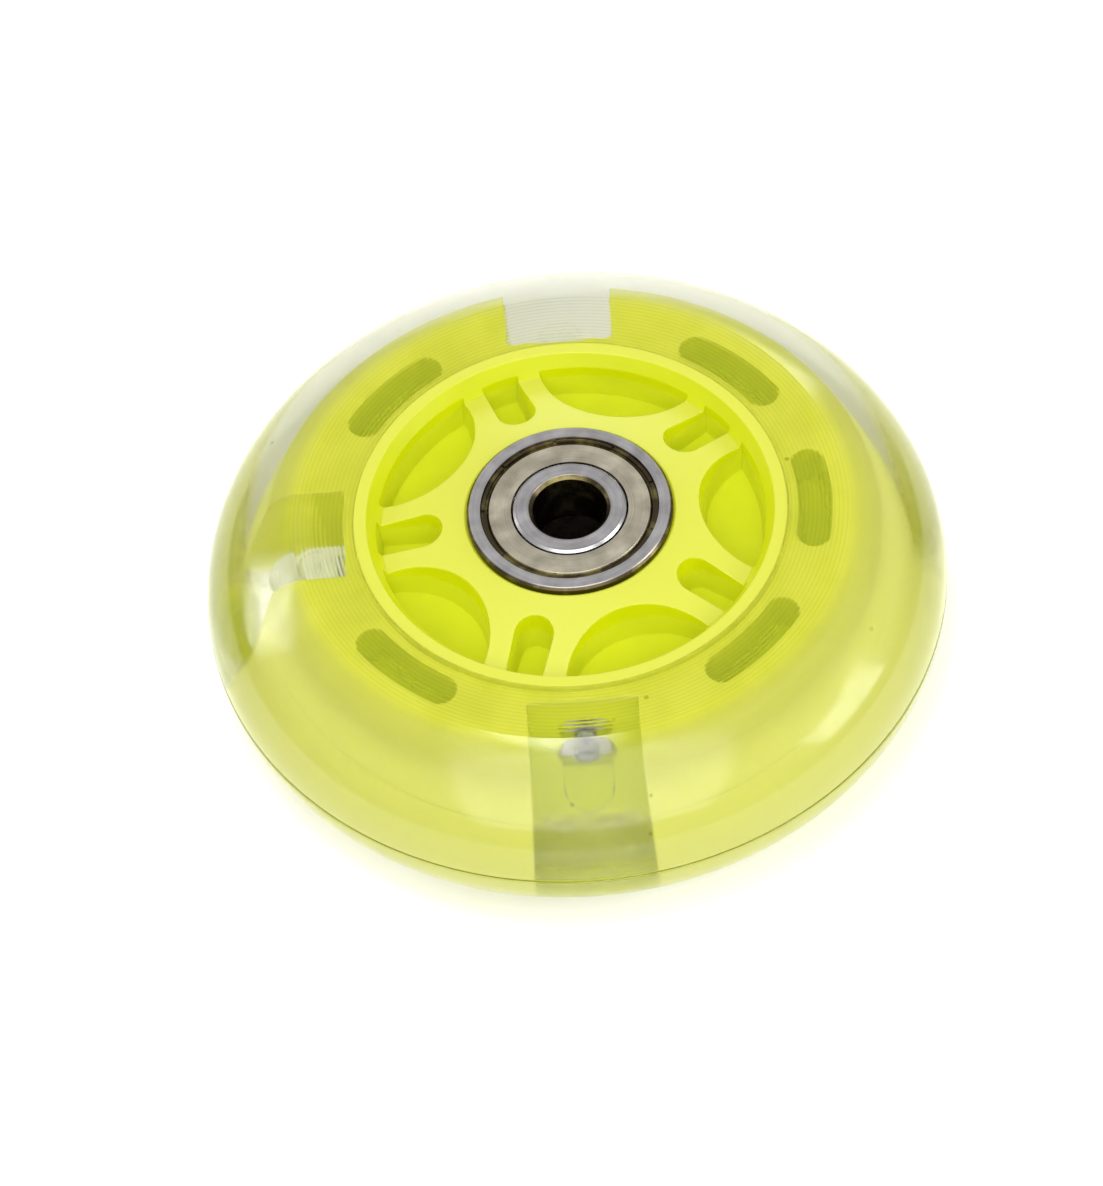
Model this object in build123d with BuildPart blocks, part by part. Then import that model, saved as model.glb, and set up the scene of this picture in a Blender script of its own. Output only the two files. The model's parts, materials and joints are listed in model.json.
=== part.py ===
"""Light-up roller wheel, 80 x 24 mm, on two shielded 608 bearings.

Millimetres. The wheel lies on its side: it spins about +Z and its origin is the centre of the wheel.
Every piece that comes in two, one on each side of the wheel, is drawn on the upper side (+Z).
"""

import os
from math import acos, asin, atan2, cos, degrees, radians, sin, tan

from build123d import *

os.makedirs("parts", exist_ok=True)

# ---- driving dimensions ------------------------------------------------------------------------
WHEEL_DIAMETER = 80.0
HUB_WIDTH = 24.0  # over the outer faces of the two bearings
BEARING_STAND = 0.65  # bearing's outer face above the tyre's side face

# tyre
TREAD_NOSE_RADIUS = 9.2
TREAD_FLANK_RADIUS = 33.5
TREAD_DEPTH = 10.3  # crown of the tread in to the outer edge of the flat side face
TYRE_INNER_RADIUS = 23.2

# core
LIP_WIDTH = 1.4
LIP_DROP = 0.05  # lip below the tyre's side face
DISH_DEPTH = 2.2  # lip down to the foot of the sloping dish wall
DISH_RUN = 1.4  # lip in to the foot of the dish wall
POCKET_DEPTH = 5.3  # from the lip
POCKET_CIRCLE_RADIUS = 9.6
POCKET_COLLAR = 2.7  # bearing seat out to where a pocket comes nearest to it
HUB_PATTERN_COUNT = 5
HUB_SLOT_WIDTH = 4.5
HUB_SLOT_COLLAR = 2.6  # bearing seat out to the inner end of a slot
HUB_SLOT_ANGLE = 37.0  # first radial slot, from +X
HUB_DRAFT = 7.0  # mould draft of pockets and slots, degrees
TREAD_THICKNESS = 7.6  # of clear tyre over the core, at the crown
CORE_EDGE_RADIUS = 3.0  # rounding of the core's outer edges
COVER_THICKNESS = 1.6  # of clear tyre over the side of the core
KEY_SLOT_STEP = 1.1  # tyre's inner edge out to the slot
KEY_SLOT_WIDTH = 3.6
KEY_SLOT_SPAN = 29.0  # degrees
KEY_SLOT_WEB = 1.2  # floor of the slot, in each half of the core
KEY_SLOT_ANGLES = (0.0, 45.0, 135.0, 225.0, 315.0)
WINDOW_ANGLES = (90.0, 180.0, 270.0)
WINDOW_WIDTH = 11.6
WINDOW_STEP = 1.0  # tyre's inner edge out to the window's floor
LEAD_IN = 0.3  # chamfer at the mouth of the bearing seat
SHOULDER_THICKNESS = 1.6  # between the bearing seat and the stator
HOLLOW_INNER_WALL = 1.8  # between the stator and the hollow for the wiring
HOLLOW_OUTER_WALL = 0.8  # outer wall of the hollow in from the foot of the dish
HOLLOW_FLOOR = 2.0  # between the hollow and a pocket
PEG_RADIUS = 0.9
PEG_LENGTH = 3.0
PEG_ANGLES = (22.5, 112.5, 202.5, 292.5)

# 608 bearing
BEARING_BORE = 8.0
BEARING_DIAMETER = 22.0
BEARING_WIDTH = 7.0
BALL_DIAMETER = 3.969
BALL_COUNT = 7
BALL_CIRCLE_DIAMETER = 15.0
RACE_CONFORMITY = 1.04  # race arc radius over ball radius
INNER_LAND_RADIUS = 6.05
OUTER_LAND_RADIUS = 9.0
OUTER_FACE_INNER_RADIUS = 9.55
SHIELD_SEAT_DEPTH = 1.0  # recess in the outer ring that holds the shield's rim
SHIELD_GROOVE_RADIUS = 9.8
SHIELD_STEP_RADIUS = 8.6
SHIELD_THICKNESS = 0.3
SHIELD_RIM_GUTTER = 0.5  # between the shield's step and its crimped rim
SHIELD_RECESS = 0.25  # shield below the bearing's face
SHIELD_NOTCH_COUNT = 9
SHIELD_NOTCH_ANGLE = 17.0
SHIELD_NOTCH_WIDTH = 0.3
BORE_CHAMFER = 0.4
RING_CHAMFER = 0.3
LAND_CHAMFER = 0.25
CAGE_WIDTH = 1.8  # radial
CAGE_THICKNESS = 0.4
RIVET_RADIUS = 0.3
RIVET_HEAD_RADIUS = 0.55
RIVET_HEAD_HEIGHT = 0.3

# light generator
SPACER_RADIUS = 5.6
MAGNET_RADIUS = 8.4
STATOR_RADIUS = 14.0
CLAW_PLATE_THICKNESS = 0.8
CLAW_COUNT = 6
CLAW_TOOTH_THICKNESS = 0.7
CLAW_TOOTH_WIDTH = 2.7
CLAW_TOOTH_GAP = 0.4  # from a tooth's tip to the opposite plate
BOBBIN_WALL = 0.5

# 5 mm LEDs
LED_RADIUS = 2.5
LED_LENGTH = 7.4
LED_FLANGE_WIDTH = 0.4
LED_FLANGE_THICKNESS = 1.0
LED_LEAD_WIDTH = 0.5
LED_LEAD_SPACING = 2.54
LED_CUP_RADIUS = 1.1
LED_CUP_WALL = 0.2
LED_CUP_HEIGHT = 1.0
LED_CUP_DEPTH = 0.5
LED_CUP_TAPER = 25.0  # degrees
LED_CUP_RIM = 1.8  # rim of the reflector cup, from the LED's base
LED_CUP_OFFSET = 0.25  # cup off the lens's axis, towards the lead it stands on
WIRE_RADIUS = 0.45
TAIL_RADIUS = 0.3
TAIL_ANGLE = 225.0

# named clearances
BALL_CLEARANCE = 0.03  # between a ball and each race, radial
CAGE_CLEARANCE = 0.12  # between a ball and its pocket
SHIELD_CLEARANCE = 0.05  # between a shield's rim and its groove
SHIELD_BORE_GAP = 0.23  # between a shield and the inner ring
SPACER_CLEARANCE = 0.1  # between the spacer and the axle, beyond the bearing's bore
MAGNET_AIR_GAP = 0.5  # between the magnet and the claws
MAGNET_END_GAP = 0.1  # between the magnet's ends and the core's shoulders
PEG_CLEARANCE = 0.05
BOBBIN_CLEARANCE = 0.2
WIRE_CLEARANCE = 0.2  # round leads and tails where they pass through the core

# ---- sizes that follow -------------------------------------------------------------------------
wheel_radius = WHEEL_DIAMETER / 2
face_height = HUB_WIDTH / 2 - BEARING_STAND
flat_face_radius = wheel_radius - TREAD_DEPTH
lip_height = face_height - LIP_DROP
lip_inner_radius = TYRE_INNER_RADIUS - LIP_WIDTH
dish_radius = lip_inner_radius - DISH_RUN
dish_height = lip_height - DISH_DEPTH
pocket_floor_height = lip_height - POCKET_DEPTH
core_outer_radius = wheel_radius - TREAD_THICKNESS
core_side_height = face_height - COVER_THICKNESS
bearing_radius = BEARING_DIAMETER / 2
bearing_height = HUB_WIDTH / 2 - BEARING_WIDTH / 2  # middle of the upper bearing
seat_height = HUB_WIDTH / 2 - BEARING_WIDTH
ball_radius = BALL_DIAMETER / 2
ball_circle_radius = BALL_CIRCLE_DIAMETER / 2
stator_height = seat_height - SHOULDER_THICKNESS
hollow_inner_radius = STATOR_RADIUS + HOLLOW_INNER_WALL
hollow_outer_radius = dish_radius - HOLLOW_OUTER_WALL
hollow_height = pocket_floor_height - HOLLOW_FLOOR
claw_inner_radius = MAGNET_RADIUS + MAGNET_AIR_GAP
bobbin_inner_radius = claw_inner_radius + CLAW_TOOTH_THICKNESS + BOBBIN_CLEARANCE
bobbin_outer_radius = STATOR_RADIUS - CLAW_PLATE_THICKNESS - BOBBIN_CLEARANCE
bobbin_height = stator_height - CLAW_PLATE_THICKNESS - BOBBIN_CLEARANCE
window_floor_radius = TYRE_INNER_RADIUS + WINDOW_STEP
led_base_radius = window_floor_radius - LED_FLANGE_THICKNESS
led_flange_radius = LED_RADIUS + LED_FLANGE_WIDTH
wire_circle_radius = (hollow_inner_radius + hollow_outer_radius) / 2
winding_radius = bobbin_outer_radius - BOBBIN_CLEARANCE
tail_notch_width = 2 * (TAIL_RADIUS + WIRE_CLEARANCE)
tail_notch_height = LED_LEAD_SPACING / 2 + TAIL_RADIUS + WIRE_CLEARANCE
lead_slot_width = LED_LEAD_WIDTH + 2 * WIRE_CLEARANCE
lead_slot_height = LED_LEAD_SPACING + lead_slot_width
hub_step = 360 / HUB_PATTERN_COUNT
key_slot_radius = TYRE_INNER_RADIUS + KEY_SLOT_STEP + KEY_SLOT_WIDTH / 2
key_slot_arc_span = KEY_SLOT_SPAN - 2 * degrees(asin(KEY_SLOT_WIDTH / 2 / key_slot_radius))
pocket_centre_radius = bearing_radius + POCKET_COLLAR + POCKET_CIRCLE_RADIUS
slot_end_radius = bearing_radius + HUB_SLOT_COLLAR + HUB_SLOT_WIDTH / 2
peg_circle_radius = (dish_radius + TYRE_INNER_RADIUS) / 2


def mirrored(shape):
    """The same piece on the lower side of the wheel."""
    return mirror(shape, about=Plane.XY)


def save(part, name):
    """Label a finished piece and write it as its own node."""
    part.label = name
    export_step(part, f"parts/{name}.step")


# ---- core: two moulded halves that meet at the wheel's mid-plane --------------------------------
def core_half():
    """One half of the core, from the mid-plane up, without its pegs or peg holes."""
    shoulder_radius = OUTER_FACE_INNER_RADIUS + RING_CHAMFER
    edge_start_radius = core_outer_radius - CORE_EDGE_RADIUS
    draft_run = (lip_height - pocket_floor_height) * tan(radians(HUB_DRAFT))
    with BuildPart() as half:
        with BuildSketch(Plane.XZ):
            with BuildLine():
                Polyline(
                    (edge_start_radius, core_side_height),
                    (TYRE_INNER_RADIUS, core_side_height),
                    (TYRE_INNER_RADIUS, lip_height),
                    (lip_inner_radius, lip_height),
                    (dish_radius, dish_height),
                    (bearing_radius + LEAD_IN, lip_height),
                    (bearing_radius, lip_height - LEAD_IN),
                    (bearing_radius, seat_height),
                    (shoulder_radius, seat_height),
                    (shoulder_radius, stator_height),
                    (STATOR_RADIUS, stator_height),
                    (STATOR_RADIUS, 0),
                    (core_outer_radius, 0),
                    (core_outer_radius, core_side_height - CORE_EDGE_RADIUS),
                )
                RadiusArc(
                    (core_outer_radius, core_side_height - CORE_EDGE_RADIUS),
                    (edge_start_radius, core_side_height),
                    -CORE_EDGE_RADIUS,
                )
            make_face()
        revolve(axis=Axis.Z)

        # five crescent pockets and, between them, five radial slots that run into the dish wall
        with BuildSketch(Plane.XY.offset(pocket_floor_height)):
            with PolarLocations(pocket_centre_radius, HUB_PATTERN_COUNT, HUB_SLOT_ANGLE + hub_step / 2):
                Circle(POCKET_CIRCLE_RADIUS - draft_run)
            with PolarLocations(slot_end_radius, HUB_PATTERN_COUNT, HUB_SLOT_ANGLE):
                Circle(HUB_SLOT_WIDTH / 2 - draft_run)
                Rectangle(
                    dish_radius - slot_end_radius,
                    HUB_SLOT_WIDTH - 2 * draft_run,
                    align=(Align.MIN, Align.CENTER),
                )
            Circle(dish_radius, mode=Mode.INTERSECT)
        extrude(amount=HUB_WIDTH, taper=-HUB_DRAFT, mode=Mode.SUBTRACT)

        # hollow ring for the wiring, and the notch that lets the coil's tails into it
        with BuildSketch():
            Circle(hollow_outer_radius)
            Circle(hollow_inner_radius, mode=Mode.SUBTRACT)
        extrude(amount=hollow_height, mode=Mode.SUBTRACT)
        with BuildSketch():
            with PolarLocations(bobbin_outer_radius, 1, TAIL_ANGLE):
                Rectangle(
                    wire_circle_radius - bobbin_outer_radius,
                    tail_notch_width,
                    align=(Align.MIN, Align.CENTER),
                )
        extrude(amount=tail_notch_height, mode=Mode.SUBTRACT)

        # blind arc slots that key the clear tyre to the core
        with BuildSketch(Plane.XY.offset(KEY_SLOT_WEB)):
            for angle in KEY_SLOT_ANGLES:
                centre_line = CenterArc(
                    (0, 0), key_slot_radius, angle - key_slot_arc_span / 2, key_slot_arc_span, mode=Mode.PRIVATE
                )
                SlotArc(centre_line, KEY_SLOT_WIDTH)
        extrude(amount=core_side_height, mode=Mode.SUBTRACT)

        # windows, open to the tread and right through the core
        with BuildSketch():
            for angle in WINDOW_ANGLES:
                with PolarLocations(window_floor_radius, 1, angle):
                    Rectangle(core_outer_radius, WINDOW_WIDTH, align=(Align.MIN, Align.CENTER))
        extrude(amount=core_side_height, mode=Mode.SUBTRACT)

        # seat for each LED's flange in the window floor, and the slot its two leads pass through
        for angle in WINDOW_ANGLES:
            with BuildSketch(led_plane(angle, led_base_radius)):
                Circle(led_flange_radius)
            extrude(amount=LED_FLANGE_THICKNESS, mode=Mode.SUBTRACT)
            with BuildSketch(led_plane(angle, wire_circle_radius)):
                Rectangle(lead_slot_width, lead_slot_height)
            extrude(amount=led_base_radius - wire_circle_radius, mode=Mode.SUBTRACT)
    return half.part


def led_plane(angle, radius):
    """Plane across an LED's own axis: local +Z points out of the wheel, local +Y along the axle."""
    direction = Vector(cos(radians(angle)), sin(radians(angle)), 0)
    return Plane(origin=direction * radius, x_dir=direction.cross(Vector(0, 0, 1)) * -1, z_dir=direction)


core_blank = core_half()

with BuildPart() as core_upper:
    add(core_blank)
    with BuildSketch():
        for angle in PEG_ANGLES:
            with PolarLocations(peg_circle_radius, 1, angle):
                Circle(PEG_RADIUS)
    extrude(amount=-PEG_LENGTH)
save(core_upper.part, "core_upper")

with BuildPart() as core_lower:
    add(mirrored(core_blank))
    with BuildSketch():
        for angle in PEG_ANGLES:
            with PolarLocations(peg_circle_radius, 1, angle):
                Circle(PEG_RADIUS + PEG_CLEARANCE)
    extrude(amount=-(PEG_LENGTH + PEG_CLEARANCE), mode=Mode.SUBTRACT)
save(core_lower.part, "core_lower")

# ---- 5 mm LEDs: a clear lens, and a pair of leads with the reflector cup ------------------------
leds = []
for number, angle in enumerate(WINDOW_ANGLES, start=1):
    with BuildPart() as led_leads:
        with BuildSketch(led_plane(angle, led_base_radius)):
            with Locations((0, LED_LEAD_SPACING / 2), (0, -LED_LEAD_SPACING / 2)):
                Rectangle(LED_LEAD_WIDTH, LED_LEAD_WIDTH)
        extrude(amount=-(led_base_radius - wire_circle_radius - WIRE_RADIUS))
        with BuildSketch(led_plane(angle, led_base_radius)):
            with Locations((0, LED_LEAD_SPACING / 2), (0, -LED_LEAD_SPACING / 2)):
                Rectangle(LED_LEAD_WIDTH, LED_LEAD_WIDTH)
        extrude(amount=LED_CUP_RIM - LED_CUP_HEIGHT / 2)
        # reflector cup on top of one lead; the other lead ends beside it as a bare post
        with BuildSketch(led_plane(angle, led_base_radius + LED_CUP_RIM)):
            with Locations((0, LED_CUP_OFFSET)):
                Circle(LED_CUP_RADIUS)
        extrude(amount=-LED_CUP_HEIGHT)
        with BuildSketch(led_plane(angle, led_base_radius + LED_CUP_RIM)):
            with Locations((0, LED_CUP_OFFSET)):
                Circle(LED_CUP_RADIUS - LED_CUP_WALL)
        extrude(amount=-LED_CUP_DEPTH, taper=LED_CUP_TAPER, mode=Mode.SUBTRACT)
    save(led_leads.part, f"led_leads_{number}")

    with BuildPart() as led_lens:
        with BuildSketch(led_plane(angle, led_base_radius)):
            Circle(led_flange_radius)
        extrude(amount=LED_FLANGE_THICKNESS)
        with BuildSketch(led_plane(angle, led_base_radius)):
            Circle(LED_RADIUS)
        extrude(amount=LED_LENGTH - LED_RADIUS)
        with Locations(led_plane(angle, led_base_radius + LED_LENGTH - LED_RADIUS)):
            Sphere(LED_RADIUS)
        add(led_leads.part, mode=Mode.SUBTRACT)
    save(led_lens.part, f"led_lens_{number}")
    leds += [led_lens.part, led_leads.part]

# ---- tyre: clear polyurethane cast over the core and the LEDs -----------------------------------
# the flank arc ends on the edge of the flat face and is tangent to the nose arc at the blend angle
nose_centre = Vector(wheel_radius - TREAD_NOSE_RADIUS, 0)
face_edge = Vector(flat_face_radius, face_height)
edge_offset = face_edge - nose_centre
centres_apart = TREAD_FLANK_RADIUS - TREAD_NOSE_RADIUS
flank_turn = acos(
    (centres_apart**2 + edge_offset.length**2 - TREAD_FLANK_RADIUS**2) / (2 * centres_apart * edge_offset.length)
)
blend_angle = degrees(atan2(edge_offset.Y, edge_offset.X) + flank_turn) - 180
blend_direction = Vector(cos(radians(blend_angle)), sin(radians(blend_angle)))
blend_point = nose_centre + blend_direction * TREAD_NOSE_RADIUS

with BuildPart() as tyre:
    with BuildSketch(Plane.XZ):
        with BuildLine():
            Polyline(
                (wheel_radius - TREAD_NOSE_RADIUS, 0),
                (TYRE_INNER_RADIUS, 0),
                (TYRE_INNER_RADIUS, face_height),
                (flat_face_radius, face_height),
            )
            RadiusArc(face_edge, blend_point, TREAD_FLANK_RADIUS)
            CenterArc(nose_centre, TREAD_NOSE_RADIUS, 0, blend_angle)
            Line(nose_centre, (wheel_radius, 0))
        make_face()
        mirror(about=Plane.XZ)
    revolve(axis=Axis.Z)
    add(core_upper.part, mode=Mode.SUBTRACT)
    add(core_lower.part, mode=Mode.SUBTRACT)
    add(leds, mode=Mode.SUBTRACT)
    # nothing flows in behind the LEDs' flanges
    for angle in WINDOW_ANGLES:
        with BuildSketch(led_plane(angle, led_base_radius)):
            Circle(led_flange_radius)
        extrude(amount=-LED_FLANGE_THICKNESS, mode=Mode.SUBTRACT)
save(tyre.part, "tyre")

# ---- light generator: magnet on the fixed spacer, coil and claw plates in the turning core ------
with BuildPart() as spacer:
    Cylinder(SPACER_RADIUS, 2 * seat_height)
    Cylinder(BEARING_BORE / 2 + SPACER_CLEARANCE, 2 * seat_height, mode=Mode.SUBTRACT)
save(spacer.part, "spacer")

magnet_length = 2 * (stator_height - MAGNET_END_GAP)
with BuildPart() as magnet:
    Cylinder(MAGNET_RADIUS, magnet_length)
    Cylinder(SPACER_RADIUS, magnet_length, mode=Mode.SUBTRACT)
    chamfer(magnet.edges().filter_by(GeomType.CIRCLE).group_by(SortBy.RADIUS)[-1], LAND_CHAMFER)
save(magnet.part, "magnet_ring")


def claw_plate(side):
    """A claw plate: disc, outer wall up to the mid-plane, and teeth that reach past the coil."""
    plate_bottom = stator_height - CLAW_PLATE_THICKNESS
    first_tooth = 0 if side > 0 else 180 / CLAW_COUNT
    with BuildPart() as plate:
        with BuildSketch(Plane.XY.offset(plate_bottom)):
            Circle(STATOR_RADIUS)
            Circle(claw_inner_radius, mode=Mode.SUBTRACT)
        extrude(amount=CLAW_PLATE_THICKNESS)
        with BuildSketch():
            Circle(STATOR_RADIUS)
            Circle(STATOR_RADIUS - CLAW_PLATE_THICKNESS, mode=Mode.SUBTRACT)
        extrude(amount=plate_bottom)
        with BuildSketch(Plane.XY.offset(plate_bottom)):
            with PolarLocations(claw_inner_radius, CLAW_COUNT, first_tooth):
                Rectangle(2 * CLAW_TOOTH_THICKNESS, CLAW_TOOTH_WIDTH)
            Circle(claw_inner_radius + CLAW_TOOTH_THICKNESS, mode=Mode.INTERSECT)
            Circle(claw_inner_radius, mode=Mode.SUBTRACT)
        extrude(amount=-(2 * plate_bottom - CLAW_TOOTH_GAP))
        with BuildSketch():
            with PolarLocations(bobbin_outer_radius, 1, TAIL_ANGLE):
                Rectangle(CLAW_PLATE_THICKNESS * 2, tail_notch_width, align=(Align.MIN, Align.CENTER))
        extrude(amount=tail_notch_height, mode=Mode.SUBTRACT)
    return plate.part if side > 0 else mirrored(plate.part)


save(claw_plate(1), "claw_plate_upper")
save(claw_plate(-1), "claw_plate_lower")

with BuildPart() as bobbin:
    Cylinder(bobbin_outer_radius, 2 * bobbin_height)
    with BuildSketch(Plane.XY.offset(-(bobbin_height - BOBBIN_WALL))):
        Circle(bobbin_outer_radius)
        Circle(bobbin_inner_radius + BOBBIN_WALL, mode=Mode.SUBTRACT)
    extrude(amount=2 * (bobbin_height - BOBBIN_WALL), mode=Mode.SUBTRACT)
    Cylinder(bobbin_inner_radius, 2 * bobbin_height, mode=Mode.SUBTRACT)
save(bobbin.part, "bobbin")

with BuildPart() as winding:
    Cylinder(winding_radius, 2 * (bobbin_height - BOBBIN_WALL))
    Cylinder(bobbin_inner_radius + BOBBIN_WALL, 2 * bobbin_height, mode=Mode.SUBTRACT)
save(winding.part, "winding")

# two feed wires run round the hollow core; the coil's tails and the LEDs' leads end on them
for side, height in (("upper", LED_LEAD_SPACING / 2), ("lower", -LED_LEAD_SPACING / 2)):
    with BuildPart() as feed_wire:
        with Locations((0, 0, height)):
            Torus(wire_circle_radius, WIRE_RADIUS)
    save(feed_wire.part, f"feed_wire_{side}")

tail_plane = led_plane(TAIL_ANGLE, winding_radius)
with BuildPart() as coil_tails:
    with BuildSketch(tail_plane):
        with Locations((0, LED_LEAD_SPACING / 2), (0, -LED_LEAD_SPACING / 2)):
            Circle(TAIL_RADIUS)
    extrude(amount=wire_circle_radius - WIRE_RADIUS - winding_radius)
save(coil_tails.part, "coil_tails")

# ---- 608 bearings: drawn once about their own middle, then placed on both sides -----------------
half_width = BEARING_WIDTH / 2
race_arc_radius = ball_radius * RACE_CONFORMITY
outer_race_radius = ball_circle_radius + ball_radius + BALL_CLEARANCE
inner_race_radius = ball_circle_radius - ball_radius - BALL_CLEARANCE
groove_top = half_width - SHIELD_SEAT_DEPTH + 2 * SHIELD_THICKNESS
shield_top = half_width - SHIELD_RECESS
shield_bore_radius = INNER_LAND_RADIUS + SHIELD_BORE_GAP
gutter_radius = SHIELD_STEP_RADIUS + SHIELD_RIM_GUTTER
shield_rim_bottom = half_width - SHIELD_SEAT_DEPTH + SHIELD_CLEARANCE
shield_rim_radius = SHIELD_GROOVE_RADIUS - SHIELD_CLEARANCE

with BuildPart() as outer_ring:
    with BuildSketch(Plane.XZ):
        with BuildLine():
            Polyline(
                (OUTER_LAND_RADIUS, 0),
                (OUTER_LAND_RADIUS, half_width - SHIELD_SEAT_DEPTH),
                (SHIELD_GROOVE_RADIUS, half_width - SHIELD_SEAT_DEPTH),
                (SHIELD_GROOVE_RADIUS, groove_top - SHIELD_THICKNESS),
                (OUTER_FACE_INNER_RADIUS, groove_top),
                (OUTER_FACE_INNER_RADIUS, half_width),
                (bearing_radius - RING_CHAMFER, half_width),
                (bearing_radius, half_width - RING_CHAMFER),
                (bearing_radius, 0),
                (OUTER_LAND_RADIUS, 0),
            )
        make_face()
        mirror(about=Plane.XZ)
        with Locations((outer_race_radius - race_arc_radius, 0)):
            Circle(race_arc_radius, mode=Mode.SUBTRACT)
    revolve(axis=Axis.Z)

with BuildPart() as inner_ring:
    with BuildSketch(Plane.XZ):
        with BuildLine():
            Polyline(
                (BEARING_BORE / 2, 0),
                (BEARING_BORE / 2, half_width - BORE_CHAMFER),
                (BEARING_BORE / 2 + BORE_CHAMFER, half_width),
                (INNER_LAND_RADIUS - LAND_CHAMFER, half_width),
                (INNER_LAND_RADIUS, half_width - LAND_CHAMFER),
                (INNER_LAND_RADIUS, 0),
                (BEARING_BORE / 2, 0),
            )
        make_face()
        mirror(about=Plane.XZ)
        with Locations((inner_race_radius + race_arc_radius, 0)):
            Circle(race_arc_radius, mode=Mode.SUBTRACT)
    revolve(axis=Axis.Z)

with BuildPart() as shield:
    with BuildSketch(Plane.XZ):
        with BuildLine():
            Polyline(
                (shield_bore_radius, shield_top - SHIELD_THICKNESS),
                (shield_bore_radius, shield_top),
                (SHIELD_STEP_RADIUS, shield_top),
                (SHIELD_STEP_RADIUS + SHIELD_RIM_GUTTER / 2, shield_top - SHIELD_THICKNESS),
                (gutter_radius, shield_top - SHIELD_THICKNESS),
                (gutter_radius, shield_top - SHIELD_CLEARANCE),
                (OUTER_FACE_INNER_RADIUS - 2 * SHIELD_CLEARANCE, shield_top - SHIELD_CLEARANCE),
                (shield_rim_radius, groove_top - SHIELD_THICKNESS - SHIELD_CLEARANCE),
                (shield_rim_radius, shield_rim_bottom),
                (SHIELD_STEP_RADIUS, shield_rim_bottom),
                (SHIELD_STEP_RADIUS - SHIELD_THICKNESS, shield_top - SHIELD_THICKNESS),
                (shield_bore_radius, shield_top - SHIELD_THICKNESS),
            )
        make_face()
    revolve(axis=Axis.Z)
    with BuildSketch(Plane.XY.offset(shield_top)):
        with PolarLocations(gutter_radius, SHIELD_NOTCH_COUNT, SHIELD_NOTCH_ANGLE):
            Rectangle(2 * (OUTER_FACE_INNER_RADIUS - gutter_radius), SHIELD_NOTCH_WIDTH)
    extrude(amount=-SHIELD_THICKNESS, mode=Mode.SUBTRACT)

with BuildPart() as cage:
    with BuildSketch():
        Circle(ball_circle_radius + CAGE_WIDTH / 2)
        Circle(ball_circle_radius - CAGE_WIDTH / 2, mode=Mode.SUBTRACT)
    extrude(amount=CAGE_THICKNESS)
    with PolarLocations(ball_circle_radius, BALL_COUNT):
        Sphere(ball_radius + CAGE_CLEARANCE + CAGE_THICKNESS)
    with BuildSketch():
        Circle(ball_circle_radius + CAGE_WIDTH / 2)
        Circle(ball_circle_radius - CAGE_WIDTH / 2, mode=Mode.SUBTRACT)
    extrude(amount=half_width, mode=Mode.INTERSECT)
    with PolarLocations(ball_circle_radius, BALL_COUNT):
        Sphere(ball_radius + CAGE_CLEARANCE, mode=Mode.SUBTRACT)
    with PolarLocations(ball_circle_radius, BALL_COUNT, 180 / BALL_COUNT):
        Cylinder(RIVET_RADIUS, BEARING_WIDTH, mode=Mode.SUBTRACT)

with BuildPart() as rivets:
    with PolarLocations(ball_circle_radius, BALL_COUNT, 180 / BALL_COUNT):
        Cylinder(RIVET_RADIUS, 2 * (CAGE_THICKNESS + RIVET_HEAD_HEIGHT))
        with Locations(
            (0, 0, CAGE_THICKNESS + RIVET_HEAD_HEIGHT / 2),
            (0, 0, -CAGE_THICKNESS - RIVET_HEAD_HEIGHT / 2),
        ):
            Cylinder(RIVET_HEAD_RADIUS, RIVET_HEAD_HEIGHT)

for side, height in (("upper", bearing_height), ("lower", -bearing_height)):
    bearing_pieces = {
        f"outer_ring_{side}": outer_ring.part,
        f"inner_ring_{side}": inner_ring.part,
        f"shield_{side}_top": shield.part,
        f"shield_{side}_bottom": mirrored(shield.part),
        f"cage_{side}_top": cage.part,
        f"cage_{side}_bottom": mirrored(cage.part),
        f"rivets_{side}": rivets.part,
    }
    for name, piece in bearing_pieces.items():
        with BuildPart() as placed:
            with Locations((0, 0, height)):
                add(piece)
        save(placed.part, name)
    for number in range(BALL_COUNT):
        with BuildPart() as ball:
            with Locations((0, 0, height)):
                with PolarLocations(ball_circle_radius, 1, number * 360 / BALL_COUNT):
                    Sphere(ball_radius)
        save(ball.part, f"ball_{side}_{number + 1}")
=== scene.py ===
"""Looks of a light-up roller wheel: a clear cast tyre over a lime core with windows, on ball bearings."""

import json
from math import acos, atan2, cos, pi, radians, sin

import bmesh
import bpy
from mathutils import Matrix, Vector


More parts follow.
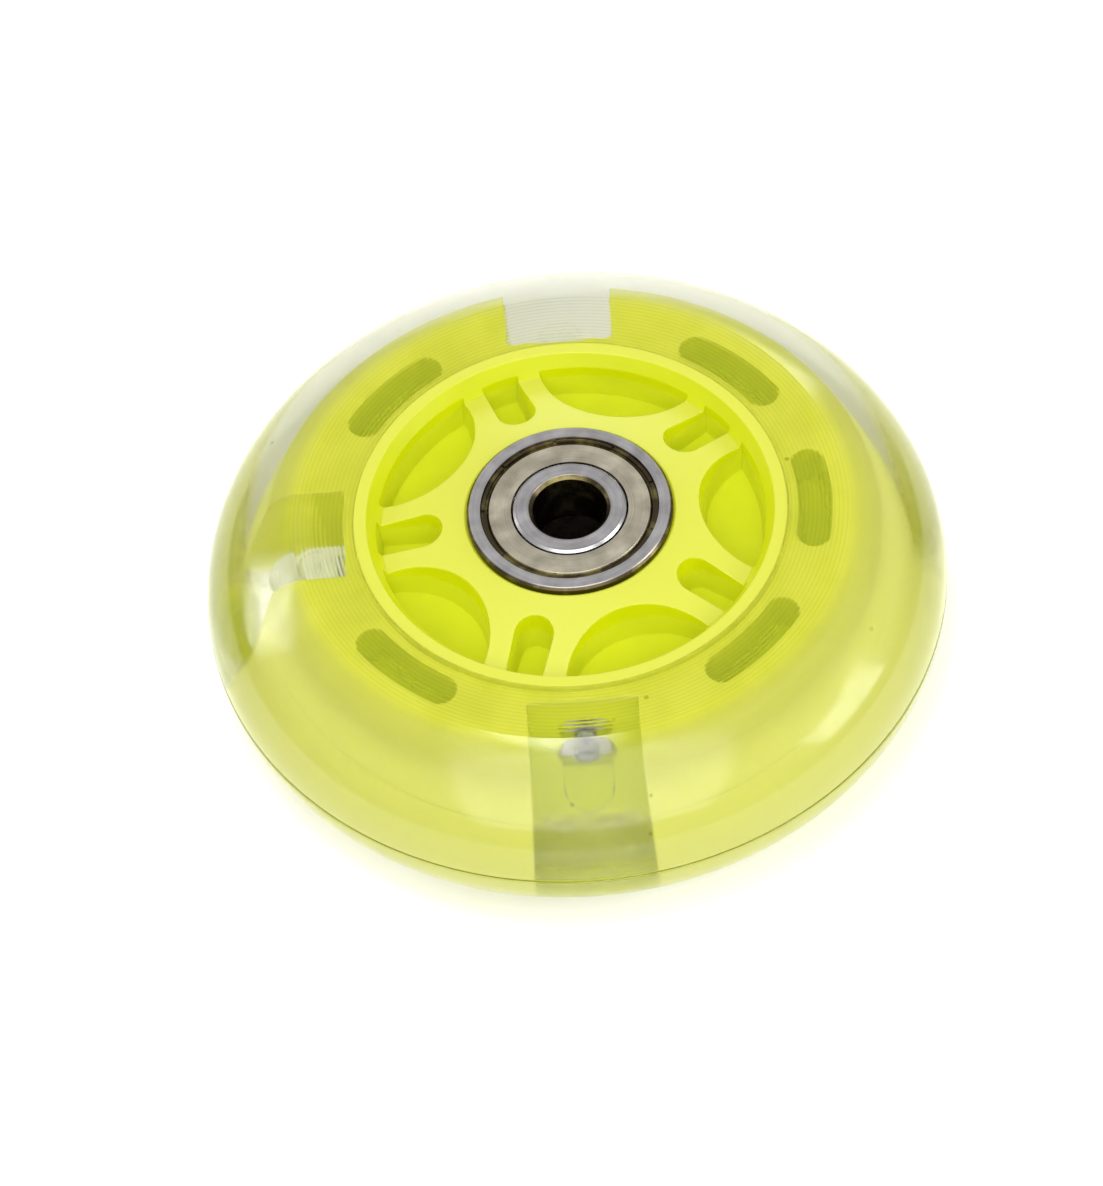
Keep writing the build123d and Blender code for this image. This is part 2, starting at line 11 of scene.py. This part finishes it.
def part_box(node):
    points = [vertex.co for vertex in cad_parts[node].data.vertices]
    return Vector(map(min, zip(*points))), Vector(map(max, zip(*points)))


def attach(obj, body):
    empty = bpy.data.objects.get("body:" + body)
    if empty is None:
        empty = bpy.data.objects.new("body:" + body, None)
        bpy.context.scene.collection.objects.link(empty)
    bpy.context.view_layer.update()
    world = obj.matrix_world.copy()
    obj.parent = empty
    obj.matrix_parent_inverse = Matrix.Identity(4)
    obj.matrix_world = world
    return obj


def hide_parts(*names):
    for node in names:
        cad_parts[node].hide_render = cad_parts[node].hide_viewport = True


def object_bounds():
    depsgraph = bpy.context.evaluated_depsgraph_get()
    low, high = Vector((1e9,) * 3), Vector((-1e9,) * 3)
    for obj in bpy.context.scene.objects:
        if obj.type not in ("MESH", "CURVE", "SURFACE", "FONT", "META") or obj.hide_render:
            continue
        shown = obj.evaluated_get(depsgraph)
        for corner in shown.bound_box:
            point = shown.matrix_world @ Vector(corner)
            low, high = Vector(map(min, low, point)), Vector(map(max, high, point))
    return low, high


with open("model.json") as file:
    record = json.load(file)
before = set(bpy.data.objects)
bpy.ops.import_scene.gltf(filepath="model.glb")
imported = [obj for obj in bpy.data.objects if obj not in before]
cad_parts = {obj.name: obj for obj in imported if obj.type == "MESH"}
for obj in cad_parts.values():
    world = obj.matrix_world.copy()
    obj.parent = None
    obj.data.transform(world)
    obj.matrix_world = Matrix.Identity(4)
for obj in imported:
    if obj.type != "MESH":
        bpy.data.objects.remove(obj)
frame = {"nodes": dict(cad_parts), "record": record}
cad_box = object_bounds()

# ---- camera -------------------------------------------------------------------------------------
# A long lens looks down on the wheel's side from a little above its edge, and is held slightly tilted.
# The wheel lies a little right of and above the lens's axis.
sensor_width = 36.0
lens = 166.9
camera_azimuth = radians(2.0)
camera_elevation = radians(52.87)
camera_roll = radians(-6.02)
camera_distance = 0.5939
slope_right = 0.0044922
slope_up = 0.00331

back = Vector(
    (
        sin(camera_azimuth) * cos(camera_elevation),
        -cos(camera_azimuth) * cos(camera_elevation),
        sin(camera_elevation),
    )
)
level_right = Vector((cos(camera_azimuth), sin(camera_azimuth), 0.0))
level_up = back.cross(level_right)
right = cos(camera_roll) * level_right + sin(camera_roll) * level_up
up = -sin(camera_roll) * level_right + cos(camera_roll) * level_up
towards_wheel = (slope_right * right + slope_up * up - back).normalized()
camera_turn = Matrix((right, up, back)).transposed().to_4x4()

camera = bpy.data.objects.new("camera", bpy.data.cameras.new("camera"))
camera.data.lens = lens
camera.data.sensor_width = sensor_width
camera.data.clip_start = 0.01
camera.data.clip_end = 20.0
camera.matrix_world = Matrix.Translation(-towards_wheel * camera_distance) @ camera_turn
bpy.context.scene.collection.objects.link(camera)
bpy.context.scene.camera = camera

# ---- white table and studio light ----------------------------------------------------------------
# The wheel lies on matt white acrylic. A painted glow in the table, faint under the wheel and full a little
# beyond it, washes out the wheel's shadow. A wide soft box stands in front, one hangs overhead, and smaller
# ones stand at the back, the left and the right.
table_size = 6.0
table_tones = ((0.95, 0.95, 0.95, 1.0), (0.97, 0.97, 0.97, 1.0))
glow_begins = 0.043
glow_full = 0.049
glow_strength = 0.6
glow_under_wheel = 0.08
room_strength = 0.5
white = (1.0, 1.0, 1.0, 1.0)


def new_material(name):
    """A node material, its shader, a function that adds a node and a function that links two sockets."""
    material = bpy.data.materials.new(name)
    material.use_nodes = True
    tree = material.node_tree

    def node(kind, feeds=(), **sockets):
        """Adds a node; feeds are (input, socket or plain value), sockets are plain values by input name."""
        made = tree.nodes.new("ShaderNode" + kind)
        for socket, value in sockets.items():
            made.inputs[socket.replace("_", " ")].default_value = value
        for socket, source in feeds:
            if isinstance(source, bpy.types.NodeSocket):
                tree.links.new(source, made.inputs[socket])
            else:
                made.inputs[socket].default_value = source
        return made

    return material, tree.nodes["Principled BSDF"], node, tree.links.new


def set_plain(shader, **values):
    """Sets plain values on the shader's own sockets."""
    for socket, value in values.items():
        shader.inputs[socket.replace("_", " ")].default_value = value


def blend_colours(node, amount, low_colour, high_colour, low=0.3, high=0.7):
    """A ramp from one colour to another as amount goes from low to high."""
    tones = node("ValToRGB", [("Fac", amount)])
    tones.color_ramp.elements[0].position = low
    tones.color_ramp.elements[0].color = low_colour
    tones.color_ramp.elements[1].position = high
    tones.color_ramp.elements[1].color = high_colour
    return tones.outputs["Color"]


def ramp(node, value, start, end, first=0.0, last=1.0):
    """Goes from first to last while value goes from start to end."""
    limits = {"From_Min": start, "From_Max": end, "To_Min": first, "To_Max": last}
    return node("MapRange", [("Value", value)], **limits).outputs["Result"]


def length_of(node, vector):
    """The length of a vector."""
    made = node("VectorMath", [("Vector", vector)])
    made.operation = "LENGTH"
    return made.outputs["Value"]


acrylic, shader, node, link = new_material("white_acrylic")
place = node("TexCoord").outputs["Object"]
cloud = node("TexNoise", [("Vector", place)], Scale=900.0).outputs["Fac"]
link(blend_colours(node, cloud, *table_tones, 0.0, 1.0), shader.inputs["Base Color"])
# painted light: the table glows faintly under the wheel and fully beyond it, washing out the wheel's shadow
glow = ramp(node, length_of(node, place), glow_begins, glow_full, glow_under_wheel, glow_strength)
link(glow, shader.inputs["Emission Strength"])
set_plain(shader, Emission_Color=white, Roughness=0.9, Specular_IOR_Level=0.1)

table_edge = table_size / 2
table_height = cad_box[0].z
table_turns = ((-1, -1), (1, -1), (1, 1), (-1, 1))
table_corners = [(x * table_edge, y * table_edge, table_height) for x, y in table_turns]
table_mesh = bpy.data.meshes.new("table")
table_mesh.from_pydata(table_corners, [], [(0, 1, 2, 3)])
table_mesh.materials.append(acrylic)
table = bpy.data.objects.new("table", table_mesh)
bpy.context.scene.collection.objects.link(table)


def softbox(name, place, width, height, power):
    """A soft studio light that faces the wheel."""
    light = bpy.data.lights.new(name, "AREA")
    light.shape = "RECTANGLE"
    light.size = width
    light.size_y = height
    light.energy = power
    lamp = bpy.data.objects.new(name, light)
    lamp.location = place
    lamp.rotation_euler = (-Vector(place)).to_track_quat("-Z", "Y").to_euler()
    bpy.context.scene.collection.objects.link(lamp)


softbox("overhead_light", (-0.15, -0.25, 1.28), width=0.5, height=0.3, power=5.0)
softbox("left_light", (-1.1, 0.55, 0.55), width=0.4, height=0.4, power=3.2)
softbox("back_light", (0.2, 1.3, 0.4), width=1.0, height=0.4, power=3.5)
softbox("right_light", (1.15, -0.27, 0.52), width=0.55, height=0.5, power=4.5)
softbox("front_light", (0.0, -1.0, 1.15), width=1.7, height=1.2, power=17.0)

room = bpy.data.worlds.new("studio")
room.use_nodes = True
room.node_tree.nodes["Background"].inputs["Color"].default_value = white
room.node_tree.nodes["Background"].inputs["Strength"].default_value = room_strength
bpy.context.scene.world = room
bpy.context.scene.view_settings.view_transform = "Standard"
bpy.context.scene.cycles.diffuse_bounces = 8
bpy.context.scene.cycles.max_bounces = 16

# ---- lime core ----------------------------------------------------------------------------------
# Two halves injection moulded in fluorescent lime plastic and pinned together at the wheel's mid-plane.
# The side plate and lip are semi-gloss and a little scuffed, the pockets matt. Their flat faces are painted
# paler and whiter, a painted sheen. Under the tyre the plastic is painted paler as painted light, which
# makes up for the light the clear tyre holds back; towards the tread it turns whitish, a painted reflection
# of the studio lights on the tyre's flank; its slots and windows are painted darker, a painted shade. A
# constant glow stands in for the plastic's fluorescence and also lifts its shade as painted light.
hub_colour = (0.48, 0.525, 0.0, 1.0)
hub_shade_colour = (0.44, 0.49, 0.0, 1.0)
# painted sheen: the plate's and lip's flat faces are paler and whiter
plate_painted_sheen_colour = (0.51, 0.53, 0.06, 1.0)
# painted light: the core under the tyre is paler, in two mottled tones
rim_painted_light_colour = (0.78, 0.79, 0.06, 1.0)
rim_painted_light_mottle_colour = (0.70, 0.72, 0.035, 1.0)
# painted shade: the core in the slots and windows is darker
slot_painted_shade_colour = (0.60, 0.64, 0.001, 1.0)
# painted reflection: a whitish veil on the core towards the tread
painted_veil_colour = (0.70, 0.71, 0.14, 1.0)
# painted glow: a constant lime glow for fluorescence, which also lifts the shade
fluorescent_painted_glow_colour = (0.90, 0.95, 0.0, 1.0)
rim_begins = 0.0232
edge_begins = 0.0290
edge_full = 0.0322
slots_end = 0.0280
slot_mouth = 0.0096
plate_height = 0.0088
colour_step = 0.0002
edge_rounding = 0.00025


def arithmetic(node, operation, first, second=0.0):
    """The result of a sum on one or two values."""
    made = node("Math", [(0, first), (1, second)])
    made.operation = operation
    return made.outputs["Value"]


def mix(node, amount, first_colour, second_colour):
    """Two colours mixed."""
    feeds = [("Fac", amount), ("Color1", first_colour), ("Color2", second_colour)]
    return node("MixRGB", feeds).outputs["Color"]


def about_the_axle(node, place):
    """How far a point lies from the axle, and how far along it."""
    part = node("SeparateXYZ", [("Vector", place)])
    across = node("CombineXYZ", [("X", part.outputs["X"]), ("Y", part.outputs["Y"])])
    return length_of(node, across.outputs["Vector"]), part.outputs["Z"]


def dress(slot, material):
    """Gives a material to every CAD node whose finish is that slot."""
    for subpart in frame["record"]["subparts"]:
        if subpart["material_slot"] == slot:
            mesh = frame["nodes"][subpart["node"]].data
            mesh.materials.clear()
            mesh.materials.append(material)


lime, shader, node, link = new_material("lime_plastic")
place = node("TexCoord").outputs["Object"]
cloud = node("TexNoise", [("Vector", place)], Scale=160.0, Detail=3.0).outputs["Fac"]
grain = node("TexNoise", [("Vector", place)], Scale=2600.0, Detail=2.0).outputs["Fac"]
scuff = node("TexNoise", [("Vector", place)], Scale=900.0, Detail=5.0, Roughness=0.7).outputs["Fac"]
from_axle, along_axle = about_the_axle(node, place)
height = arithmetic(node, "ABSOLUTE", along_axle)
facing = node("SeparateXYZ", [("Vector", node("TexCoord").outputs["Normal"])])
upright = arithmetic(node, "ABSOLUTE", facing.outputs["Z"])

# painted sheen on the flat faces of the plate and lip
high_up = ramp(node, height, plate_height - colour_step, plate_height)
painted_sheen_on_plate = arithmetic(node, "MULTIPLY", high_up, ramp(node, upright, 0.5, 0.9))
pocket_tone = blend_colours(node, cloud, hub_shade_colour, hub_colour, 0.3, 0.6)
hub_tone = mix(node, painted_sheen_on_plate, pocket_tone, plate_painted_sheen_colour)
in_rim = ramp(node, from_axle, rim_begins - colour_step / 2, rim_begins + colour_step / 2)
# painted light on the core under the tyre
core_tone = mix(node, in_rim, hub_tone, blend_colours(node, cloud, rim_painted_light_mottle_colour, rim_painted_light_colour, 0.3, 0.6))
# painted reflection: a whitish veil towards the tread
pale_tone = mix(node, ramp(node, from_axle, edge_begins, edge_full), core_tone, painted_veil_colour)
# painted shade in the slots and windows
below_mouth = ramp(node, height, slot_mouth - colour_step, slot_mouth, 1.0, 0.0)
inside_slots = ramp(node, from_axle, slots_end, slots_end + colour_step, 1.0, 0.0)
painted_shade_in_slot = arithmetic(node, "MULTIPLY", arithmetic(node, "MULTIPLY", below_mouth, inside_slots), in_rim)
link(mix(node, painted_shade_in_slot, pale_tone, slot_painted_shade_colour), shader.inputs["Base Color"])

sheen = ramp(node, scuff, 0.3, 0.75, 0.28, 0.45)
matt = ramp(node, height, plate_height - colour_step, plate_height, 0.45, 0.0)
link(arithmetic(node, "ADD", sheen, matt), shader.inputs["Roughness"])
rounded_edges = node("Bevel", Radius=edge_rounding).outputs["Normal"]
skin = node("Bump", [("Height", grain), ("Normal", rounded_edges)], Strength=0.08, Distance=0.00002)
link(skin.outputs["Normal"], shader.inputs["Normal"])
set_plain(shader, IOR=1.5, Specular_IOR_Level=0.5)
set_plain(shader, Subsurface_Weight=0.25, Subsurface_Radius=(1.0, 1.0, 0.2), Subsurface_Scale=0.0012)
# painted glow, standing in for fluorescence, which also lifts the core's shade
set_plain(shader, Emission_Color=fluorescent_painted_glow_colour, Emission_Strength=0.14)
dress("lime_plastic", lime)

# ---- clear tyre ---------------------------------------------------------------------------------
# Polyurethane cast clear over the core, so it fills the core's windows and arc slots.
# The side faces are turned flat, which leaves fine rings; their furrows are darkened as painted shade. The
# moulded tread is a little duller, carries the mould's parting line, and has a few specks and bubbles in
# it.
tyre_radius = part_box("tyre")[1].x
tyre_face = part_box("tyre")[1].z
tyre_inside = 0.02312  # just inside the core's lip, which the urethane grips
flat_edge = 0.0297
nose_radius = 0.0092
flank_radius = 0.0335
flank_steps = 14
nose_steps = 24
ring_pitch = 0.00046
ring_depth = 0.00003
ring_points = 4
ring_margin = 0.0002
parting_depth = 0.00007
parting_width = 0.0002
turn_steps = 360
crease_angle = radians(14.0)
clear_tones = ((0.96, 0.96, 0.87, 1.0), (0.98, 0.98, 0.92, 1.0))
# painted shade in the furrows of the turned rings
furrow_painted_shade_colour = (0.80, 0.80, 0.68, 1.0)
furrow_painted_shade_strength = 0.7
skin_colour = (0.74, 0.74, 0.74, 1.0)
skin_strength = 0.6
skin_fade = 0.0012
speck_colour = (0.42, 0.42, 0.20, 1.0)

half_outline = []
ring_count = int((flat_edge - ring_margin - tyre_inside) / ring_pitch)
for number in range(ring_count * ring_points):
    dip = ring_depth * (0.5 - 0.5 * cos(2 * pi * number / ring_points))
    half_outline.append((tyre_inside + number * ring_pitch / ring_points, tyre_face - dip))
half_outline.append((flat_edge, tyre_face))

# the flank's arc starts at the edge of the flat face and runs smoothly into the nose's arc
nose_middle = Vector((tyre_radius - nose_radius, 0.0))
corner = Vector((flat_edge, tyre_face)) - nose_middle
apart = flank_radius - nose_radius
turn = (apart**2 + corner.length_squared - flank_radius**2) / (2 * apart * corner.length)
flank_direction = atan2(corner.y, corner.x) + acos(turn)
flank_middle = nose_middle + apart * Vector((cos(flank_direction), sin(flank_direction)))
blend_angle = flank_direction - pi
start_angle = atan2(tyre_face - flank_middle.y, flat_edge - flank_middle.x)
for step in range(1, flank_steps + 1):
    angle = start_angle + (blend_angle - start_angle) * step / flank_steps
    half_outline.append(tuple(flank_middle + flank_radius * Vector((cos(angle), sin(angle)))))
for step in range(1, nose_steps):
    angle = blend_angle * (1 - step / nose_steps)
    half_outline.append(tuple(nose_middle + nose_radius * Vector((cos(angle), sin(angle)))))
half_outline.append((tyre_radius - parting_depth, parting_width / 2))
outline = half_outline + [(tyre_radius, 0.0)] + [(r, -z) for r, z in reversed(half_outline)]

tyre_shape = bmesh.new()
loops = []
for step in range(turn_steps):
    angle = 2 * pi * step / turn_steps
    loops.append([tyre_shape.verts.new((r * cos(angle), r * sin(angle), z)) for r, z in outline])
for step in range(turn_steps):
    here = loops[step]
    there = loops[(step + 1) % turn_steps]
    for number in range(len(outline)):
        following = (number + 1) % len(outline)
        tyre_shape.faces.new((here[number], there[number], there[following], here[following]))
bmesh.ops.recalc_face_normals(tyre_shape, faces=tyre_shape.faces)
for face in tyre_shape.faces:
    face.smooth = True
tyre_mesh = bpy.data.meshes.new("clear_tyre")
tyre_shape.to_mesh(tyre_mesh)
tyre_shape.free()
clear_tyre = bpy.data.objects.new("clear_tyre", tyre_mesh)
bpy.context.scene.collection.objects.link(clear_tyre)
tyre_mesh.set_sharp_from_angle(angle=crease_angle)

urethane, shader, node, link = new_material("clear_urethane")
place = node("TexCoord").outputs["Object"]
streaks = node("TexNoise", [("Vector", place)], Scale=45.0, Detail=3.0).outputs["Fac"]
haze = node("TexNoise", [("Vector", place)], Scale=300.0, Detail=4.0).outputs["Fac"]
from_axle, along_axle = about_the_axle(node, place)
height = arithmetic(node, "ABSOLUTE", along_axle)

wave = arithmetic(node, "SINE", arithmetic(node, "MULTIPLY", from_axle, 2 * pi / ring_pitch))
on_face = ramp(node, height, tyre_face - ring_margin, tyre_face - ring_margin / 2)
# painted shade: the furrows of the turned rings are tinted darker
painted_shade_in_furrow = arithmetic(node, "MULTIPLY", ramp(node, wave, 0.0, 1.0, 0.0, furrow_painted_shade_strength), on_face)
ringed_tone = mix(node, painted_shade_in_furrow, blend_colours(node, streaks, *clear_tones), furrow_painted_shade_colour)
on_tread = ramp(node, from_axle, flat_edge, flat_edge + skin_fade, 0.0, skin_strength)
skin_tone = mix(node, on_tread, ringed_tone, skin_colour)
bubbles = node("TexVoronoi", [("Vector", place)], Scale=330.0).outputs["Distance"]
bubble_patches = node("TexNoise", [("Vector", place)], Scale=90.0).outputs["Fac"]
in_bubble = ramp(node, bubbles, 0.07, 0.10, 1.0, 0.0)
in_speck = arithmetic(node, "MULTIPLY", in_bubble, ramp(node, bubble_patches, 0.60, 0.64))
link(mix(node, in_speck, skin_tone, speck_colour), shader.inputs["Base Color"])
link(ramp(node, haze, 0.3, 0.7, 0.10, 0.20), shader.inputs["Roughness"])
set_plain(shader, Transmission_Weight=1.0, IOR=1.49)
tyre_mesh.materials.append(urethane)
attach(clear_tyre, "wheel")
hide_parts("tyre")

# ---- lights in the windows ----------------------------------------------------------------------
# Clear epoxy domes with tinned leads. The urethane is cast against them, so only a faint outline shows.
# A thin disc at the foot of each dome is its bright base, moulded in the same white plastic as the bobbin.
disc_radius = 0.0024
disc_thickness = 0.0003
disc_inset = 0.00025
disc_sides = 64
# painted glint: the leads glow faintly, as if they caught light
lead_painted_glint_colour = (1.0, 1.0, 0.95, 1.0)

epoxy, shader, node, link = new_material("led_epoxy")
place = node("TexCoord").outputs["Object"]
swirl = node("TexNoise", [("Vector", place)], Scale=700.0, Detail=2.0).outputs["Fac"]
epoxy_tone = blend_colours(node, swirl, (0.93, 0.95, 0.93, 1.0), (0.97, 0.98, 0.96, 1.0), 0.35, 0.65)
link(epoxy_tone, shader.inputs["Base Color"])
set_plain(shader, Roughness=0.03, Transmission_Weight=1.0, IOR=1.07)
dress("led_epoxy", epoxy)

tin, shader, node, link = new_material("tinned_lead")
place = node("TexCoord").outputs["Object"]
dull = node("TexNoise", [("Vector", place)], Scale=2500.0, Detail=4.0).outputs["Fac"]
tin_tone = blend_colours(node, dull, (0.50, 0.50, 0.44, 1.0), (0.74, 0.74, 0.70, 1.0))
link(tin_tone, shader.inputs["Base Color"])
# painted glint: a faint glow on the leads stands in for light they catch
set_plain(shader, Metallic=0.2, Roughness=0.35, Emission_Color=lead_painted_glint_colour, Emission_Strength=0.05)
dress("tinned_lead", tin)


def speckled(slot, low_colour, high_colour, scale, roughness, metallic=0.0):
    """A plain finish with a speckle of its own scale."""
    material, shader, node, link = new_material(slot)
    place = node("TexCoord").outputs["Object"]
    speckle = node("TexNoise", [("Vector", place)], Scale=scale, Detail=5.0, Roughness=0.65).outputs["Fac"]
    link(blend_colours(node, speckle, low_colour, high_colour, 0.35, 0.65), shader.inputs["Base Color"])
    link(ramp(node, speckle, 0.3, 0.7, roughness * 0.8, roughness * 1.2), shader.inputs["Roughness"])
    bump = node("Bump", [("Height", speckle)], Strength=0.3, Distance=0.00002)
    link(bump.outputs["Normal"], shader.inputs["Normal"])
    set_plain(shader, Metallic=metallic)
    dress(slot, material)
    return material


bobbin_white = speckled("bobbin_plastic", (0.66, 0.64, 0.58, 1.0), (0.80, 0.78, 0.72, 1.0), 500.0, 0.5)

disc_distance = disc_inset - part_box("led_lens_3")[1].y
disc_place = Matrix.Translation((disc_distance, 0.0, 0.0)) @ Matrix.Rotation(pi / 2, 4, "Y")
for number in (1, 2, 3):
    disc_shape = bmesh.new()
    bmesh.ops.create_cone(
        disc_shape,
        cap_ends=True,
        segments=disc_sides,
        radius1=disc_radius,
        radius2=disc_radius,
        depth=disc_thickness,
        matrix=Matrix.Rotation(number * pi / 2, 4, "Z") @ disc_place,
    )
    disc_mesh = bpy.data.meshes.new(f"led_base_{number}")
    disc_shape.to_mesh(disc_mesh)
    disc_shape.free()
    disc_mesh.materials.append(bobbin_white)
    disc = bpy.data.objects.new(f"led_base_{number}", disc_mesh)
    bpy.context.scene.collection.objects.link(disc)
    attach(disc, "wheel")

# ---- ball bearings ------------------------------------------------------------------------------
# Rings of ground bearing steel, shields and cages pressed from sheet, polished balls.
# Grinding leaves fine rings round the axle on every turned face. Brown grime with painted shade darkens the
# gutter of the shield, the bore's chamfer and the outer ring's edge.
# brown grime with painted shade, for the gutter, the bore's chamfer and the outer ring's edge
painted_shade_grime_colour = (0.085, 0.066, 0.035, 1.0)
painted_shade_grime_speck_colour = (0.30, 0.26, 0.10, 1.0)
painted_shade_fade = 0.00012
patch_share = 0.45  # the dull patches' part in a turned face's tone; its rings have the rest


def turned_steel(slot, tones, roughness, pitch, inner_edge=0.0, outer_edge=1.0):
    """Steel with turning or grinding rings, dull patches, and brown grime with painted shade inside and
    outside two radii.
    """
    material, shader, node, link = new_material(slot)
    place = node("TexCoord").outputs["Object"]
    from_axle, along_axle = about_the_axle(node, place)
    outwards = arithmetic(node, "DIVIDE", from_axle, pitch)
    along = arithmetic(node, "DIVIDE", along_axle, pitch)
    spot = node("CombineXYZ", [("X", outwards), ("Z", along)]).outputs["Vector"]
    rings = node("TexNoise", [("Vector", spot)], Scale=1.0, Detail=3.0, Roughness=0.6).outputs["Fac"]
    patches = node("TexNoise", [("Vector", place)], Scale=420.0, Detail=4.0).outputs["Fac"]
    both = node("Mix", [("A", rings), ("B", patches)], Factor=patch_share).outputs["Result"]
    clean = blend_colours(node, both, *tones, 0.35, 0.65)
    # painted shade with a grime tint beyond outer_edge and within inner_edge
    beyond = ramp(node, from_axle, outer_edge - painted_shade_fade, outer_edge)
    within = ramp(node, from_axle, inner_edge - painted_shade_fade, inner_edge, 1.0, 0.0)
    shade_and_grime_mask = arithmetic(node, "MAXIMUM", beyond, within)
    shade_and_grime_tone = blend_colours(node, patches, painted_shade_grime_colour, painted_shade_grime_speck_colour, 0.5, 0.75)
    link(mix(node, shade_and_grime_mask, clean, shade_and_grime_tone), shader.inputs["Base Color"])
    link(ramp(node, patches, 0.3, 0.7, roughness * 0.8, roughness * 1.3), shader.inputs["Roughness"])
    bump = node("Bump", [("Height", rings)], Strength=0.5, Distance=0.00001)
    link(bump.outputs["Normal"], shader.inputs["Normal"])
    set_plain(shader, Metallic=1.0)
    dress(slot, material)


ground_tones = ((0.46, 0.44, 0.44, 1.0), (0.70, 0.68, 0.69, 1.0))
zinc_tones = ((0.50, 0.45, 0.34, 1.0), (0.80, 0.74, 0.58, 1.0))
sheet_tones = ((0.35, 0.34, 0.32, 1.0), (0.58, 0.56, 0.52, 1.0))
plated_tones = ((0.50, 0.50, 0.52, 1.0), (0.74, 0.74, 0.76, 1.0))
turned_steel("bearing_steel", ground_tones, 0.3, 0.00009, inner_edge=0.00445, outer_edge=0.0108)
turned_steel("shield_steel", zinc_tones, 0.33, 0.00012, outer_edge=0.0087)
turned_steel("cage_steel", sheet_tones, 0.4, 0.0002)
turned_steel("claw_steel", plated_tones, 0.35, 0.0003)

polished, shader, node, link = new_material("ball_steel")
place = node("TexCoord").outputs["Object"]
film = node("TexNoise", [("Vector", place)], Scale=900.0, Detail=2.0).outputs["Fac"]
ball_tone = blend_colours(node, film, (0.66, 0.66, 0.68, 1.0), (0.80, 0.80, 0.82, 1.0))
link(ball_tone, shader.inputs["Base Color"])
set_plain(shader, Metallic=1.0, Roughness=0.08)
dress("ball_steel", polished)

# ---- light generator ----------------------------------------------------------------------------
# A blackened spacer tube and a sintered ring magnet stay still on the axle.
# The wound bobbin, its claw plates and the wires turn round them inside the core.
speckled("spacer_steel", (0.010, 0.007, 0.005, 1.0), (0.045, 0.032, 0.024, 1.0), 600.0, 0.45, metallic=0.6)
speckled("ferrite", (0.05, 0.05, 0.055, 1.0), (0.11, 0.11, 0.12, 1.0), 1400.0, 0.7)
speckled("copper_wire", (0.42, 0.15, 0.05, 1.0), (0.68, 0.30, 0.12, 1.0), 2200.0, 0.35, metallic=1.0)
speckled("red_wire", (0.45, 0.02, 0.015, 1.0), (0.62, 0.04, 0.03, 1.0), 900.0, 0.4)
speckled("black_wire", (0.012, 0.012, 0.012, 1.0), (0.03, 0.03, 0.03, 1.0), 900.0, 0.4)
